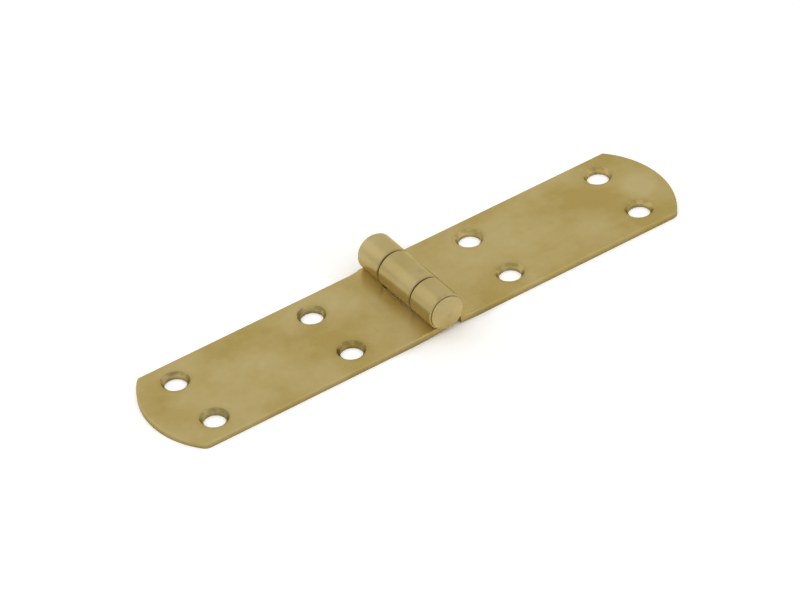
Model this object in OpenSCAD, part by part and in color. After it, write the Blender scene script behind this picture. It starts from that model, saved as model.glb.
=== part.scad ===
// Long-leaf butt hinge: two sheet-metal leaves, rolled into three knuckles round one riveted pin.
// X runs along the leaves, Y along the pin and Z up. The origin is on the underside, below the pin.

/* [Leaves] */
// Width of both leaves, measured along the pin
leaf_width = 35; // [30:0.5:50]
// Distance from the pin axis to the crown of each arched end
leaf_reach = 85; // [78:0.5:140]
// Thickness of the sheet
sheet_thickness = 2; // [1.4:0.1:3]
// How far the arched end would stand out beyond its two corners if they were sharp
end_rise = 6.6; // [3:0.1:9]
// Radius on the two corners of the arched end
corner_radius = 3; // [1:0.1:5]
// Radius on the upper edges of the sheet and on the ends of the knuckles
edge_radius = 0.4; // [0.1:0.05:0.6]

/* [Screw holes] */
// Diameter of the plain hole
hole_diameter = 6.4; // [4:0.1:7]
// Diameter of the countersink at the top face
countersink_diameter = 8.1; // [7.4:0.1:10]
// Included angle of the countersink
countersink_angle = 90; // [82:1:120]
// Distance from the pin axis to the inner pair of holes
inner_pair_distance = 26.5; // [18:0.5:30]
// Distance between the inner and the outer pair of holes
pair_pitch = 44.5; // [20:0.5:47]
// Distance between the two holes of a pair
hole_pitch = 19.5; // [12:0.5:22]

/* [Barrel] */
// Diameter of the pin
pin_diameter = 7; // [4:0.1:8]
// Gap all round between the pin and the inside of the knuckles
pin_clearance = 0.1; // [0.05:0.05:0.2]
// Height of the underside of the barrel above the underside of the leaves
barrel_lift = 0.8; // [0.2:0.1:1.6]
// Distance from the pin axis to the middle of the bend where the leaves start to rise to the barrel
crank_start = 9; // [7.5:0.5:13]
// How far this soft bend runs to both sides of its middle
bend_run = 4; // [1:0.5:4]
// Length of the middle knuckle
middle_knuckle = 15; // [9:0.5:22]
// Gap between neighbouring knuckles
knuckle_gap = 0.3; // [0.2:0.05:0.6]
// Gap between a knuckle and the notch of the other leaf
notch_clearance = 0.4; // [0.3:0.05:1.2]
// Gap between the rolled end of the sheet and the top of its own leaf
seam_gap = 0.12; // [0.05:0.01:0.3]

/* [Pin heads] */
// Thickness of the riveted heads
head_thickness = 0.6; // [0.5:0.05:1]
// How far the rim of a head stays inside the outside of its knuckle
head_inset = 0.5; // [0.3:0.05:1]
// Radius on both edges of the rim of the heads
head_edge_radius = 0.2; // [0.1:0.05:0.24]

/* [Hidden] */

$fn = 96;
leaf_color = [0.68, 0.61, 0.40];
pin_color = [0.70, 0.63, 0.42];
// How far a cutting tool runs past the face that it cuts
overcut = 1;

// The barrel: the sheet wraps the pin
pin_radius = pin_diameter / 2;
bore_radius = pin_radius + pin_clearance;
barrel_radius = bore_radius + sheet_thickness;
axis_height = barrel_lift + barrel_radius;
outer_knuckle_start = middle_knuckle / 2 + knuckle_gap;
// The rounding of the sheet's sides starts here, clear of the roll
rim_start = barrel_radius + edge_radius;
// The crank: the sheet bends up from the flat of the leaf, and rises on at a slight slope to the barrel
bend_steps = 10;
crank_slope = barrel_lift / crank_start;
crank_angle = atan(crank_slope);
crank_edge = (crank_start - rim_start) / cos(crank_angle);
// Below the pin the rising sheet runs this far on into the metal of the roll
crank_past = crank_slope * barrel_radius;
// The rising sheet ends in a notch where its upper edge comes close to the neighbouring knuckle
notch_radius = barrel_radius + notch_clearance;
crank_depth = bore_radius * cos(crank_angle);
notch_edge = cos(crank_angle) * (sqrt(notch_radius ^ 2 - crank_depth ^ 2) - bore_radius * sin(crank_angle));
// The rolled end stops this far below the level of the pin, just clear of the rising sheet
seam_angle = crank_angle + asin((bore_radius - seam_gap) * cos(crank_angle) / barrel_radius);
// Level inside the sheet down to which the roll is open between its end and its root
opening_foot = barrel_lift + sheet_thickness / 4;
opening_reach = (axis_height - opening_foot) / tan(seam_angle);
// Half of the seam's gap, as room for a tool that rounds the ends of the roll
roll_past = seam_gap / 2;
roll_overrun = asin(roll_past / barrel_radius);

// The arched end: an arc over the crown, and a smaller one round each corner
half_width = leaf_width / 2;
end_radius = (half_width ^ 2 + end_rise ^ 2) / (2 * end_rise);
end_center = leaf_reach - end_radius;
corner_offset = half_width - corner_radius;
corner_center = end_center + sqrt((end_radius - corner_radius) ^ 2 - corner_offset ^ 2);
// Direction from the middle of the large arc to where the corner's arc takes over
corner_angle = atan2(corner_offset, corner_center - end_center);
corner_ray = end_radius + overcut;

countersink_slope = tan(countersink_angle / 2);
countersink_depth = (countersink_diameter - hole_diameter) / 2 / countersink_slope;
head_radius = barrel_radius - head_inset;

// Points of the bend from the flat of the leaf inwards, on a face at the given level
function bend(level) = [
    for (step = [0:bend_steps])
        let (share = step / bend_steps)
            [crank_start + bend_run * (1 - 2 * share), level + crank_slope * bend_run * share ^ 2]
];

// The same points in the other order
function reversed(points) = [for (index = [len(points) - 1:-1:0]) points[index]];

// Side view of a leaf on the +X side: flat, then rising, under the pin, up, over and back down
module leaf_profile() {
    difference() {
        union() {
            difference() {
                translate([0, axis_height])
                    circle(barrel_radius);
                polygon([
                    [0, axis_height],
                    [-crank_past / 2, opening_foot],
                    [opening_reach, opening_foot]
                ]);
            }
            polygon(concat(
                [[-crank_past, barrel_lift + crank_slope * crank_past]],
                reversed(bend(0)),
                [[leaf_reach, 0], [leaf_reach, sheet_thickness]],
                bend(sheet_thickness),
                [[-crank_past, barrel_lift + sheet_thickness + crank_slope * crank_past]]
            ));
        }
        translate([0, axis_height])
            circle(bore_radius);
    }
}

// What rounding takes off an edge, seen end on: the edge is at the origin, and the metal at +X and +Y
module edge_waste(radius, past) {
    difference() {
        translate([-past, -past])
            square(radius + past);
        translate([radius, radius])
            circle(radius);
    }
}

// Rounding of an upper edge that runs along +X from the origin, with the metal at +Y and -Z
module straight_edge_waste(length) {
    rotate([90, 0, 90])
        linear_extrude(length)
            mirror([0, 1])
                edge_waste(edge_radius, overcut);
}

// Rounding of the upper edges of a leaf: along both sides, up the crank and round the arch
module rim_waste() {
    for (side = [0, 1])
        mirror([0, side, 0]) {
            translate([crank_start - edge_radius, -half_width, sheet_thickness])
                straight_edge_waste(leaf_reach - crank_start + edge_radius);
            translate([crank_start, -half_width, sheet_thickness])
                rotate([0, crank_angle, 0])
                    translate([-crank_edge, 0, 0])
                        straight_edge_waste(crank_edge);
        }
    translate([end_center, 0, sheet_thickness])
        rotate([0, 0, -90])
            rotate_extrude(angle = 180)
                translate([end_radius, 0])
                    rotate(180)
                        edge_waste(edge_radius, overcut);
}

// What the small arc takes off the corner at +Y, seen from above
module corner_waste() {
    difference() {
        polygon([
            [corner_center, corner_offset],
            [corner_center, half_width + overcut],
            [leaf_reach, half_width + overcut],
            [end_center + corner_ray * cos(corner_angle), corner_ray * sin(corner_angle)]
        ]);
        translate([corner_center, corner_offset])
            circle(corner_radius);
    }
}

// What the arched end leaves off the square end of the sheet
module end_waste() {
    translate([0, 0, -overcut])
        linear_extrude(sheet_thickness + 2 * overcut) {
            difference() {
                translate([corner_center, -half_width - overcut])
                    square([leaf_reach - corner_center + overcut, leaf_width + 2 * overcut]);
                translate([end_center, 0])
                    circle(end_radius);
            }
            for (side = [0, 1])
                mirror([0, side])
                    corner_waste();
        }
}

// Cutter for one countersunk hole, centred on the Z axis
module screw_hole() {
    translate([0, 0, -overcut])
        cylinder(h = sheet_thickness + 2 * overcut, d = hole_diameter);
    translate([0, 0, sheet_thickness - countersink_depth])
        cylinder(
            h = countersink_depth + overcut,
            d1 = hole_diameter,
            d2 = countersink_diameter + 2 * overcut * countersink_slope
        );
}

// A leaf on the +X side with one knuckle over its whole width
module leaf_blank() {
    difference() {
        rotate([90, 0, 0])
            linear_extrude(leaf_width, center = true)
                leaf_profile();
        end_waste();
        rim_waste();
        for (pair = [0, 1], side = [-1, 1])
            translate([inner_pair_distance + pair * pair_pitch, side * hole_pitch / 2, 0])
                screw_hole();
    }
}

// Room for a knuckle of the other leaf, between two places along the pin
module notch(from, to) {
    translate([-barrel_radius - overcut, from, -overcut])
        cube([barrel_radius + overcut + notch_edge, to - from, axis_height + barrel_radius + 2 * overcut]);
    translate([0, to, axis_height])
        rotate([90, 0, 0])
            cylinder(h = to - from, r = barrel_radius + notch_clearance / 2);
}

// Rounding of the two roll ends at one distance from the middle of the pin
// The metal lies towards the middle, or away from it where outwards is 1
module knuckle_end_waste(distance, outwards) {
    for (side = [0, 1])
        mirror([0, side, 0])
            translate([0, distance, axis_height])
                rotate([90, 0, 0])
                    rotate(-seam_angle - roll_overrun)
                        rotate_extrude(angle = 270 + seam_angle + 2 * roll_overrun)
                            translate([barrel_radius, 0])
                                mirror([1, 0])
                                    mirror([0, outwards])
                                        edge_waste(edge_radius, roll_past);
}

module two_knuckle_leaf() {
    color(leaf_color)
        mirror([1, 0, 0])
            difference() {
                leaf_blank();
                notch(-outer_knuckle_start, outer_knuckle_start);
                knuckle_end_waste(outer_knuckle_start, 1);
                knuckle_end_waste(half_width, 0);
            }
}

module one_knuckle_leaf() {
    color(leaf_color)
        difference() {
            leaf_blank();
            notch(middle_knuckle / 2, half_width + overcut);
            notch(-half_width - overcut, -middle_knuckle / 2);
            knuckle_end_waste(middle_knuckle / 2, 0);
        }
}

// Half of the pin's outline: the shank, and a flat head set down on the outer knuckle's end
module half_pin_section() {
    square([pin_radius, half_width]);
    translate([0, half_width])
        difference() {
            square([head_radius, head_thickness]);
            translate([head_radius, 0])
                mirror([1, 0])
                    edge_waste(head_edge_radius, overcut);
            translate([head_radius, head_thickness])
                rotate(180)
                    edge_waste(head_edge_radius, overcut);
        }
}

module hinge_pin() {
    color(pin_color)
        translate([0, 0, axis_height])
            rotate([90, 0, 0])
                rotate_extrude() {
                    half_pin_section();
                    mirror([0, 1])
                        half_pin_section();
                }
}

two_knuckle_leaf();
one_knuckle_leaf();
hinge_pin();
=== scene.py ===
"""Studio scene of a long-leaf butt hinge in yellow-passivated zinc plate."""

import math

import bpy
from mathutils import Matrix, Vector


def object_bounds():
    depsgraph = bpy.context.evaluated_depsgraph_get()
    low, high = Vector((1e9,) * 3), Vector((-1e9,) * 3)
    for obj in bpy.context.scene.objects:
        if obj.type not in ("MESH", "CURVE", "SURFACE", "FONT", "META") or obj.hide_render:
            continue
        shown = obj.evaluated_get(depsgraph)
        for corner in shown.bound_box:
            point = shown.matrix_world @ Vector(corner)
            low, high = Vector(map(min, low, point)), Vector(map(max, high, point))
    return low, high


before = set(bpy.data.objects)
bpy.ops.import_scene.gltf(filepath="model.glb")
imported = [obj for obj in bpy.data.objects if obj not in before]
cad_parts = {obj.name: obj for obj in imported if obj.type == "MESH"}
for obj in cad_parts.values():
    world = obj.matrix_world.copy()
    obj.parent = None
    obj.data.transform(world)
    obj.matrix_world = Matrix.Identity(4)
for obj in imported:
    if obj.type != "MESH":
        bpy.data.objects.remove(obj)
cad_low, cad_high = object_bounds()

MM = 0.001
WHITE = (1.0, 1.0, 1.0, 1.0)

# Camera: direction and distance from the origin, the point that it looks at, and sensor and lens in mm
VIEW_AZIMUTH = math.radians(-31.58)
VIEW_ELEVATION = math.radians(38.89)
VIEW_ROLL = math.radians(-5.11)
VIEW_DISTANCE = 1333.9 * MM
VIEW_AIM = Vector((-2.7, 1.7, 0.0)) * MM
SENSOR_WIDTH = 36.0
LENS = 218.0

# Plating tones as linear colour, each with its place between the darkest and the palest of the pattern
DEEP_TONE = (0.378, 0.277, 0.083)
DEEP_AT = 0.32
MIDDLE_TONE = (0.428, 0.331, 0.127)
MIDDLE_AT = 0.5
PALE_TONE = (0.466, 0.371, 0.166)
PALE_AT = 0.68
# How far the plating shines as bare metal does, and its tint where it is seen at a flat angle
METAL_SHARE = 0.7
GRAZING_TINT = (0.72, 0.62, 0.34)

# Patterns of the plating: how fine they are, their octaves, and their share in the tone beside the clouds
PATTERN_MIDDLE = 0.5
CLOUD_SCALE = 52.0
CLOUD_DETAIL = 3.0
STREAK_SCALE = 260.0
STREAK_DETAIL = 3.0
STREAK_STRETCH = (0.12, 1.0, 1.0)
STREAK_SHARE = 0.08
MOTTLE_SCALE = 300.0
MOTTLE_DETAIL = 2.0
MOTTLE_SHARE = 0.2
SPECKLE_SCALE = 2600.0
SPECKLE_DETAIL = 2.0
SPECKLE_SHARE = 0.12

# Roughness from dark to pale clouds, and the fine bumps
DARK_CLOUD = 0.3
PALE_CLOUD = 0.7
ROUGHNESS_LOW = 0.25
ROUGHNESS_HIGH = 0.33
BUMP_STRENGTH = 0.1
BUMP_DISTANCE = 0.01 * MM

# Screw holes: the middle of a leaf's four, half of their spacing, how far bore, countersink and halo reach,
# the width of the change between them, the bore's painted light and the halo's shade
HOLE_MIDDLE = 48.75 * MM
HOLE_HALF_PITCH = Vector((22.25, 9.75)) * MM
HOLE_BORE = 3.25 * MM
HOLE_WALL = 4.15 * MM
HOLE_HALO = 5.4 * MM
HOLE_BLEND = 0.1 * MM
BORE_LIGHT = 1.2
HALO_SHADE = 0.08
# Patches of deeper and lighter painted shade in the countersinks
PATCH_SCALE = 420.0
PATCH_DETAIL = 1.0
PATCH_SHADED = 0.4
PATCH_LIT = 0.6
PATCH_SPREAD = 0.16

# Painted shade low on upright walls near the floor, partly a duller sheared band: height over which
# it goes from dark below to plain above, and how dark it gets
WALL_SHADE_LOW = 0.5 * MM
WALL_SHADE_HIGH = 1.6 * MM
WALL_FOOT_SHADE = 0.25
# A wall counts as upright up to the first of these upward shares of its normal, and not from the second on
UPRIGHT_FULL = 0.2
UPRIGHT_NONE = 0.6

# Painted light in the creases beside the barrel: their place along X and Z, and how far and how much it
# lifts their shade
CREASE_ALONG = 5.0 * MM
CREASE_HEIGHT = 3.0 * MM
CREASE_REACH = 5.5 * MM
CREASE_PAINTED_LIGHT = 0.18

# Painted shade in the joints between the knuckles: place along Y, where full and all painted shade end,
# how dark it gets, and the height above which it lies
JOINT_PLACE = 7.65 * MM
JOINT_CORE = 0.15 * MM
JOINT_REACH = 0.75 * MM
JOINT_SHADE = 0.3
JOINT_HEIGHT = 3.5 * MM

# Painted sheen on the tops of the knuckles: tone, heights between which it comes in, and how much of it
TOP_SHEEN_TONE = (0.405, 0.34, 0.178)
TOP_SHEEN_LOW = 6.0 * MM
TOP_SHEEN_HIGH = 10.0 * MM
TOP_SHEEN_SHARE = 0.35

# Plating of each solid: shift of its patterns, brightness, raised on the pin as painted light on its shaded
# end, and how much painted shade its countersinks get
LOOKS = {
    "two_knuckle_leaf": ((0.0, 0.0, 0.0), 1.0, 0.2),
    "one_knuckle_leaf": ((0.31, 0.12, 0.0), 1.0, 0.02),
    "hinge_pin": ((0.0, 0.4, 0.2), 1.04, 0.0),
}

# Stains in the plating and some painted light and shade: place along X, Y and Z and reach in mm,
# and tone from deep below 0 to pale above 0
STAINS_AND_PAINTED_LIGHT = {
    "two_knuckle_leaf": [
        (-26, -1, 2, 12, -0.17),
        (-42, 8, 2, 11, -0.19),
        (-35, 4, 2, 7, -0.06),
        (-38, -6, 2, 9, -0.05),
        (-47, -8, 2, 9, -0.1),
        (-80, 8, 2, 9, -0.08),
        (-12, 13, 2, 8, -0.08),
        (-60, 5, 2, 10, 0.08),
        (-58, -8, 2, 12, 0.06),
        # Painted light: lifts the shade on the leaf beside the barrel
        (-13, -7, 2, 9, 0.16),
    ],
    "one_knuckle_leaf": [
        (75, 14, 2, 10, -0.12),
        (75, -14, 2, 6, -0.12),
        (62, -13, 2, 9, -0.06),
        (66, 1, 2, 12, -0.3),
        (60, 8, 2, 9, -0.1),
        (77, -1, 2, 6.5, 0.4),
        (45, -10, 2, 12, 0.06),
        (40, 3, 2, 12, 0.06),
        # Painted shade on the leaf beside the barrel
        (12, 0, 2, 8, -0.08),
    ],
    "hinge_pin": [
        # Painted light on the pin's shaded end
        (0, -18, 6.4, 9, 0.3),
    ],
}

# Small dark marks: place along X, Y and Z and reach in mm, and how dark they get
MARKS = {
    "two_knuckle_leaf": [
        (-1.6, -17.0, 11.6, 1.3, 0.2),
        (0.2, -17.3, 11.8, 1.1, 0.16),
        (-41, 11, 2, 2.5, 0.08),
        (-36, 4, 2, 3, 0.06),
    ],
    "one_knuckle_leaf": [
        (1, -4, 11.9, 1.4, 0.14),
        (-1.2, -2.6, 11.8, 0.9, 0.08),
    ],
    "hinge_pin": [
        (0.6, -18.1, 5.2, 0.9, 0.18),
    ],
}

# Floor: size and colour, its glow for the camera, and the faint warm painted glow near the barrel that
# takes its place, standing for light thrown by the plating into its shade
FLOOR_SIZE = 12.0
FLOOR_COLOR = (0.97, 0.97, 0.97, 1.0)
FLOOR_GLOW = 0.2
BOUNCE_GLOW_COLOR = (1.0, 0.68, 0.2, 1.0)
BOUNCE_GLOW = 0.05
SHADE_REACH = 12.0 * MM
SHADE_END = 20.0 * MM

# Light: the room, and softboxes with their place and size in metres and brightness beside the room's
WORLD_STRENGTH = 1.0
SOFTBOXES = {
    "key_softbox": ((-0.45, 0.7, 0.65), 0.7, 0.3),
    "front_softbox": ((0.45, -0.65, 0.7), 0.6, 0.35),
}


def socket_color(rgb):
    """A colour socket's four values."""
    return (*rgb, 1.0)


class Nodes:
    """Adds nodes to one tree and links them."""

    def __init__(self, tree):
        self.tree = tree
        tree.nodes.clear()

    def put(self, value, socket):
        """Links an output to a socket, or sets the socket to a constant."""
        if isinstance(value, bpy.types.NodeSocket):
            self.tree.links.new(value, socket)
        else:
            socket.default_value = value

    def add(self, kind, settings=None, **inputs):
        """A node with its settings, and its inputs by name, with _ for a space."""
        node = self.tree.nodes.new(kind)
        for name, value in (settings or {}).items():
            setattr(node, name, value)
        for name, value in inputs.items():
            label = name.replace("_", " ").lower()
            socket = next(s for s in node.inputs if s.name.lower() == label and s.enabled)
            self.put(value, socket)
        return node

    def math(self, operation, *values):
        """The output of a math node."""
        node = self.tree.nodes.new("ShaderNodeMath")
        node.operation = operation
        for socket, value in zip(node.inputs, values):
            self.put(value, socket)
        return node.outputs[0]

    def parts(self, vector):
        """The X, Y and Z of a vector."""
        return self.add("ShaderNodeSeparateXYZ", Vector=vector).outputs

    def beyond(self, value, place):
        """How far a value lies beyond a place, counted the same way on both sides of 0."""
        return self.math("SUBTRACT", self.math("ABSOLUTE", value), place)

    def diagonal(self, along, across):
        """The length of the diagonal over two sides at right angles."""
        squares = [self.math("MULTIPLY", side, side) for side in (along, across)]
        return self.math("SQRT", self.math("ADD", *squares))

    def seen(self):
        """1 for what the camera sees, straight or in a mirror or through glass, and 0 for light."""
        path = self.add("ShaderNodeLightPath").outputs
        mirrored = self.math("MAXIMUM", path["Is Glossy Ray"], path["Is Transmission Ray"])
        return self.math("MAXIMUM", path["Is Camera Ray"], mirrored)

    def noise(self, place, scale, detail, stretch=(1.0, 1.0, 1.0), offset=(0.0, 0.0, 0.0)):
        """Smooth noise around the pattern's middle, stretched and shifted along the axes."""
        mapping = self.add("ShaderNodeMapping", Vector=place, Scale=stretch, Location=offset)
        node = self.add("ShaderNodeTexNoise", Vector=mapping.outputs[0], Scale=scale, Detail=detail)
        return node.outputs["Fac"]

    def mix_in(self, pattern, share, tone):
        """A tone with a share of a pattern's swing added to it."""
        swing = self.math("SUBTRACT", pattern, PATTERN_MIDDLE)
        return self.math("MULTIPLY_ADD", swing, share, tone)

    def remap(self, value, low, high, new_low, new_high):
        """Takes a value from one range to another, held at both ends."""
        limits = {"From_Min": low, "From_Max": high, "To_Min": new_low, "To_Max": new_high}
        return self.add("ShaderNodeMapRange", Value=value, **limits).outputs[0]

    def spot(self, place, middle, reach, strength):
        """A strength that goes down to 0 at a spot's reach; its middle and reach are in mm."""
        distance = self.add("ShaderNodeVectorMath", {"operation": "DISTANCE"})
        self.put(place, distance.inputs[0])
        self.put(Vector(middle) * MM, distance.inputs[1])
        return self.remap(distance.outputs["Value"], 0.0, reach * MM, strength, 0.0)


def hole_light(nodes, place, countersink_shade):
    """Brightness by the distance from the nearest screw hole: painted shade, with lighter patches, in the
    countersinks, a darker ring round them, and painted light in the bore.
    """
    parts = nodes.parts(place)
    along = nodes.beyond(nodes.beyond(parts["X"], HOLE_MIDDLE), HOLE_HALF_PITCH.x)
    across = nodes.beyond(parts["Y"], HOLE_HALF_PITCH.y)
    distance = nodes.diagonal(along, across)
    inside = nodes.remap(distance, HOLE_WALL, HOLE_WALL + HOLE_BLEND, 1.0, 0.0)
    halo = nodes.remap(distance, HOLE_WALL, HOLE_HALO, HALO_SHADE, 0.0)
    pattern = nodes.noise(place, PATCH_SCALE, PATCH_DETAIL)
    patches = nodes.remap(
        pattern, PATCH_SHADED, PATCH_LIT, countersink_shade + PATCH_SPREAD, countersink_shade - PATCH_SPREAD
    )
    loss = nodes.math("MULTIPLY_ADD", inside, patches, halo)
    bore = nodes.remap(distance, HOLE_BORE, HOLE_BORE + HOLE_BLEND, BORE_LIGHT, 1.0)
    return nodes.math("SUBTRACT", bore, loss)


def edge_light(nodes, place):
    """Brightness by the height on an upright wall: painted shade low down near the floor, partly for the
    duller sheared band there.
    """
    normal = nodes.add("ShaderNodeTexCoord").outputs["Normal"]
    facing = nodes.math("ABSOLUTE", nodes.parts(normal)["Z"])
    upright = nodes.remap(facing, UPRIGHT_FULL, UPRIGHT_NONE, 1.0, 0.0)
    foot_shade = nodes.remap(nodes.parts(place)["Z"], WALL_SHADE_LOW, WALL_SHADE_HIGH, WALL_FOOT_SHADE, 0.0)
    return nodes.math("SUBTRACT", 1.0, nodes.math("MULTIPLY", upright, foot_shade))


def crease_light(nodes, place):
    """Painted light by the distance from the crease on each side of the barrel: paler in it, lifting its
    shade.
    """
    parts = nodes.parts(place)
    along = nodes.beyond(parts["X"], CREASE_ALONG)
    above = nodes.math("SUBTRACT", parts["Z"], CREASE_HEIGHT)
    return nodes.remap(nodes.diagonal(along, above), 0.0, CREASE_REACH, 1.0 + CREASE_PAINTED_LIGHT, 1.0)


def joint_light(nodes, place):
    """Brightness by the distance from the joints between the knuckles: dark with painted shade in the gaps.
    """
    parts = nodes.parts(place)
    beside = nodes.math("ABSOLUTE", nodes.beyond(parts["Y"], JOINT_PLACE))
    painted_joint_shade = nodes.remap(beside, JOINT_CORE, JOINT_REACH, JOINT_SHADE, 0.0)
    raised = nodes.math("GREATER_THAN", parts["Z"], JOINT_HEIGHT)
    return nodes.math("SUBTRACT", 1.0, nodes.math("MULTIPLY", painted_joint_shade, raised))


def mark_light(nodes, place, marks):
    """Brightness by the distance from the small marks: dark in them."""
    light = 1.0
    for *middle, reach, strength in marks:
        loss = nodes.spot(place, middle, reach, strength)
        light = nodes.math("MULTIPLY", light, nodes.math("SUBTRACT", 1.0, loss))
    return light


def plating_color(nodes, place, tone):
    """The plating's colour by its tone, paler with a painted sheen on the tops of the knuckles."""
    ramp = nodes.add("ShaderNodeValToRGB", Fac=tone)
    elements = ramp.color_ramp.elements
    elements[0].position = DEEP_AT
    elements[0].color = socket_color(DEEP_TONE)
    elements[1].position = PALE_AT
    elements[1].color = socket_color(PALE_TONE)
    elements.new(MIDDLE_AT).color = socket_color(MIDDLE_TONE)
    top_sheen = nodes.add(
        "ShaderNodeMix",
        {"data_type": "VECTOR"},
        Factor=nodes.remap(nodes.parts(place)["Z"], TOP_SHEEN_LOW, TOP_SHEEN_HIGH, 0.0, TOP_SHEEN_SHARE),
        A=ramp.outputs["Color"],
        B=TOP_SHEEN_TONE,
    )
    return next(s for s in top_sheen.outputs if s.enabled)


def make_zinc(name, offset, gain, countersink_shade):
    """Yellow-passivated zinc: satin metal with soft cloudy stains and a fine grain along the sheet."""
    material = bpy.data.materials.new(name + "_zinc")
    material.use_nodes = True
    nodes = Nodes(material.node_tree)
    place = nodes.add("ShaderNodeTexCoord").outputs["Object"]

    cloud = nodes.noise(place, CLOUD_SCALE, CLOUD_DETAIL, offset=offset)
    streak = nodes.noise(place, STREAK_SCALE, STREAK_DETAIL, stretch=STREAK_STRETCH, offset=offset)
    mottle = nodes.noise(place, MOTTLE_SCALE, MOTTLE_DETAIL, offset=offset)
    speckle = nodes.noise(place, SPECKLE_SCALE, SPECKLE_DETAIL, offset=offset)
    tone = nodes.mix_in(streak, STREAK_SHARE, cloud)
    tone = nodes.mix_in(mottle, MOTTLE_SHARE, tone)
    for *middle, reach, strength in STAINS_AND_PAINTED_LIGHT[name]:
        tone = nodes.math("ADD", tone, nodes.spot(place, middle, reach, strength))
    tone = nodes.mix_in(speckle, SPECKLE_SHARE, tone)

    # Painted light and shade on the plating: the pin's gain, countersinks and bore, wall feet, creases and
    # knuckle joints; the small marks are real
    light = gain
    for part in (
        hole_light(nodes, place, countersink_shade),
        edge_light(nodes, place),
        crease_light(nodes, place),
        joint_light(nodes, place),
        mark_light(nodes, place, MARKS[name]),
    ):
        light = nodes.math("MULTIPLY", light, part)
    color = nodes.add("ShaderNodeVectorMath", {"operation": "SCALE"}, Scale=light)
    nodes.put(plating_color(nodes, place, tone), color.inputs[0])

    roughness = nodes.remap(cloud, DARK_CLOUD, PALE_CLOUD, ROUGHNESS_LOW, ROUGHNESS_HIGH)
    bump = nodes.add("ShaderNodeBump", Strength=BUMP_STRENGTH, Distance=BUMP_DISTANCE, Height=speckle)
    shader = nodes.add(
        "ShaderNodeBsdfPrincipled",
        Base_Color=color.outputs["Vector"],
        Metallic=METAL_SHARE,
        Roughness=roughness,
        Normal=bump.outputs["Normal"],
        Specular_Tint=socket_color(GRAZING_TINT),
    )
    nodes.add("ShaderNodeOutputMaterial", Surface=shader.outputs["BSDF"])
    return material


def dress_nodes():
    """Gives every solid of the hinge its plating, each with its own clouds."""
    for name, look in LOOKS.items():
        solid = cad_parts[name]
        solid.data.materials.clear()
        solid.data.materials.append(make_zinc(name, *look))


def make_camera():
    """The photograph's viewpoint: a long lens from the left front, tipped a little to one side."""
    back = Vector((
        math.sin(VIEW_AZIMUTH) * math.cos(VIEW_ELEVATION),
        -math.cos(VIEW_AZIMUTH) * math.cos(VIEW_ELEVATION),
        math.sin(VIEW_ELEVATION),
    ))
    place = back * VIEW_DISTANCE
    turn = (VIEW_AIM - place).to_track_quat("-Z", "Y").to_matrix() @ Matrix.Rotation(VIEW_ROLL, 3, "Z")
    data = bpy.data.cameras.new("camera")
    data.sensor_width = SENSOR_WIDTH
    data.lens = LENS
    camera = bpy.data.objects.new("camera", data)
    camera.matrix_world = Matrix.LocRotScale(place, turn.to_quaternion(), None)
    bpy.context.scene.collection.objects.link(camera)
    bpy.context.scene.camera = camera


def make_world():
    """An even white room."""
    world = bpy.data.worlds.new("studio")
    bpy.context.scene.world = world
    world.use_nodes = True
    nodes = Nodes(world.node_tree)
    background = nodes.add("ShaderNodeBackground", Color=WHITE, Strength=WORLD_STRENGTH)
    nodes.add("ShaderNodeOutputWorld", Surface=background.outputs["Background"])


def floor_material():
    """Plain white, whitened further for the camera, but left in full shade near the barrel, with a faint
    warm painted glow there for light from the plating.
    """
    material = bpy.data.materials.new("floor_white")
    material.use_nodes = True
    nodes = Nodes(material.node_tree)
    place = nodes.add("ShaderNodeTexCoord").outputs["Object"]
    along = nodes.math("ABSOLUTE", nodes.parts(place)["X"])
    surface = nodes.add("ShaderNodeBsdfDiffuse", Color=FLOOR_COLOR).outputs[0]
    # The second glow is painted warm light in the floor's shade near the barrel
    for color, inner, outer in ((WHITE, 0.0, FLOOR_GLOW), (BOUNCE_GLOW_COLOR, BOUNCE_GLOW, 0.0)):
        strength = nodes.remap(along, SHADE_REACH, SHADE_END, inner, outer)
        seen_strength = nodes.math("MULTIPLY", nodes.seen(), strength)
        glow = nodes.add("ShaderNodeEmission", Color=color, Strength=seen_strength)
        both = nodes.add("ShaderNodeAddShader")
        nodes.put(surface, both.inputs[0])
        nodes.put(glow.outputs[0], both.inputs[1])
        surface = both.outputs[0]
    nodes.add("ShaderNodeOutputMaterial", Surface=surface)
    return material


def make_floor():
    """A large square under the leaves."""
    half = FLOOR_SIZE / 2
    level = cad_low.z
    mesh = bpy.data.meshes.new("floor")
    corners = [(-half, -half, level), (half, -half, level), (half, half, level), (-half, half, level)]
    mesh.from_pydata(corners, [], [(0, 1, 2, 3)])
    mesh.materials.append(floor_material())
    floor = bpy.data.objects.new("floor", mesh)
    bpy.context.scene.collection.objects.link(floor)


def make_softbox(name, place, size, glow):
    """A square lamp that faces the hinge; glow is its brightness beside the white room's."""
    data = bpy.data.lights.new(name, "AREA")
    data.shape = "SQUARE"
    data.size = size
    data.energy = glow * math.pi * size * size
    lamp = bpy.data.objects.new(name, data)
    lamp.location = place
    lamp.rotation_mode = "QUATERNION"
    lamp.rotation_quaternion = (-Vector(place)).to_track_quat("-Z", "Y")
    bpy.context.scene.collection.objects.link(lamp)


bpy.context.scene.view_settings.view_transform = "Standard"
make_camera()
make_world()
make_floor()
for softbox_name, softbox in SOFTBOXES.items():
    make_softbox(softbox_name, *softbox)
dress_nodes()
